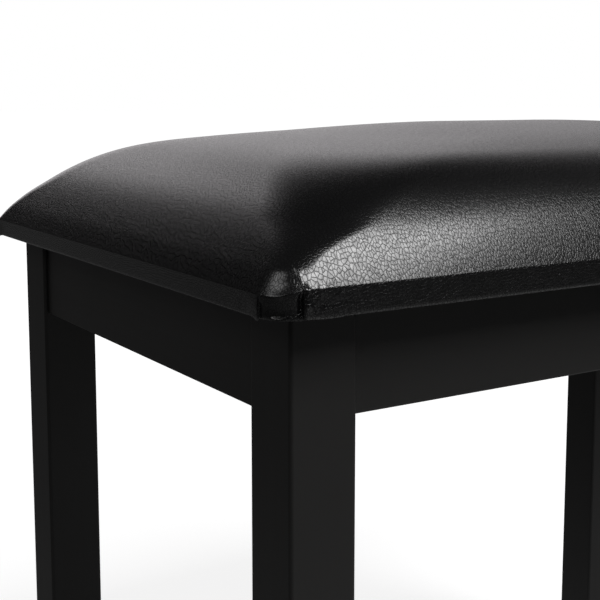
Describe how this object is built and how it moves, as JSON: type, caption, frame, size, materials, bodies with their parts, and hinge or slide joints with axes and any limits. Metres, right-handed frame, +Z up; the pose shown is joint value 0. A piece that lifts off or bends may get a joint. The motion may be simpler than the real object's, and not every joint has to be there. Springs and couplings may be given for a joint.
{
  "type": "piano bench",
  "caption": "Black piano bench with straight square legs, low aprons and a thick crowned vinyl seat that lifts on a rear hinge over a shallow music compartment.",
  "frame": {"origin": "on the floor under the middle of the bench", "axes": "+X along the length to the right as seen from the front, +Y from front to back, +Z up"},
  "size_m": [0.55, 0.354, 0.4872],
  "materials": {
    "black_paint": "satin black paint",
    "black_board": "matt black hardboard",
    "bare_wood": "sanded, unfinished",
    "plywood": "sanded, unfinished",
    "foam": "open-cell foam",
    "black_vinyl": "grained semi-gloss vinyl",
    "lining_cloth": "non-woven cloth",
    "nickel_steel": "nickel plated",
    "zinc_steel": "zinc plated",
    "black_plastic": "moulded",
    "rubber": "matt"
  },
  "bodies": {
    "frame": {"leg_front_left": "black_paint", "leg_front_right": "black_paint", "leg_rear_left": "black_paint", "leg_rear_right": "black_paint", "apron_front": "black_paint", "apron_rear": "black_paint", "apron_left": "black_paint", "apron_right": "black_paint", "compartment_floor": "black_board", "corner_block_front_left": "bare_wood", "corner_block_front_right": "bare_wood", "corner_block_rear_left": "bare_wood", "corner_block_rear_right": "bare_wood", "hanger_bolts": "zinc_steel", "bolt_washers": "zinc_steel", "bolt_nuts": "zinc_steel", "apron_dowels": "bare_wood", "block_screws": "zinc_steel", "foot_glide_front_left": "black_plastic", "foot_glide_front_right": "black_plastic", "foot_glide_rear_left": "black_plastic", "foot_glide_rear_right": "black_plastic", "lid_bumpers": "rubber", "hinge_leaf_frame": "nickel_steel", "hinge_pin": "nickel_steel", "hinge_screws_frame": "nickel_steel", "stay_track_left": "zinc_steel", "stay_track_right": "zinc_steel", "track_screws": "zinc_steel"},
    "lid": {"seat_board": "plywood", "seat_foam": "foam", "seat_cover": "black_vinyl", "lid_lining": "lining_cloth", "cover_staples": "zinc_steel", "hinge_leaf_lid": "nickel_steel", "hinge_screws_lid": "nickel_steel", "stay_bracket_left": "zinc_steel", "stay_bracket_right": "zinc_steel", "stay_pivot_left": "zinc_steel", "stay_pivot_right": "zinc_steel", "bracket_screws": "zinc_steel"},
    "stay_arm_left": {"stay_arm_left": "zinc_steel", "stay_stud_left": "zinc_steel"},
    "stay_arm_right": {"stay_arm_right": "zinc_steel", "stay_stud_right": "zinc_steel"}
  },
  "joints": [
    {"name": "lid_hinge", "type": "hinge", "parent": "frame", "child": "lid", "pos_m": [0, 0.1612, 0.4133], "axis": [-1, 0, 0], "range_deg": [0, 70]},
    {"name": "stay_pivot_left", "type": "hinge", "parent": "lid", "child": "stay_arm_left", "pos_m": [-0.2315, 0.06955, 0.40528], "axis": [-1, 0, 0], "range_deg": [-141, 1]},
    {"name": "stay_pivot_right", "type": "hinge", "parent": "lid", "child": "stay_arm_right", "pos_m": [0.2315, 0.06955, 0.40528], "axis": [-1, 0, 0], "range_deg": [-141, 1]}
  ],
  "couplings": [
    {"joint": "stay_pivot_left", "follows": "lid_hinge", "ratio": -2},
    {"joint": "stay_pivot_right", "follows": "lid_hinge", "ratio": -2}
  ]
}
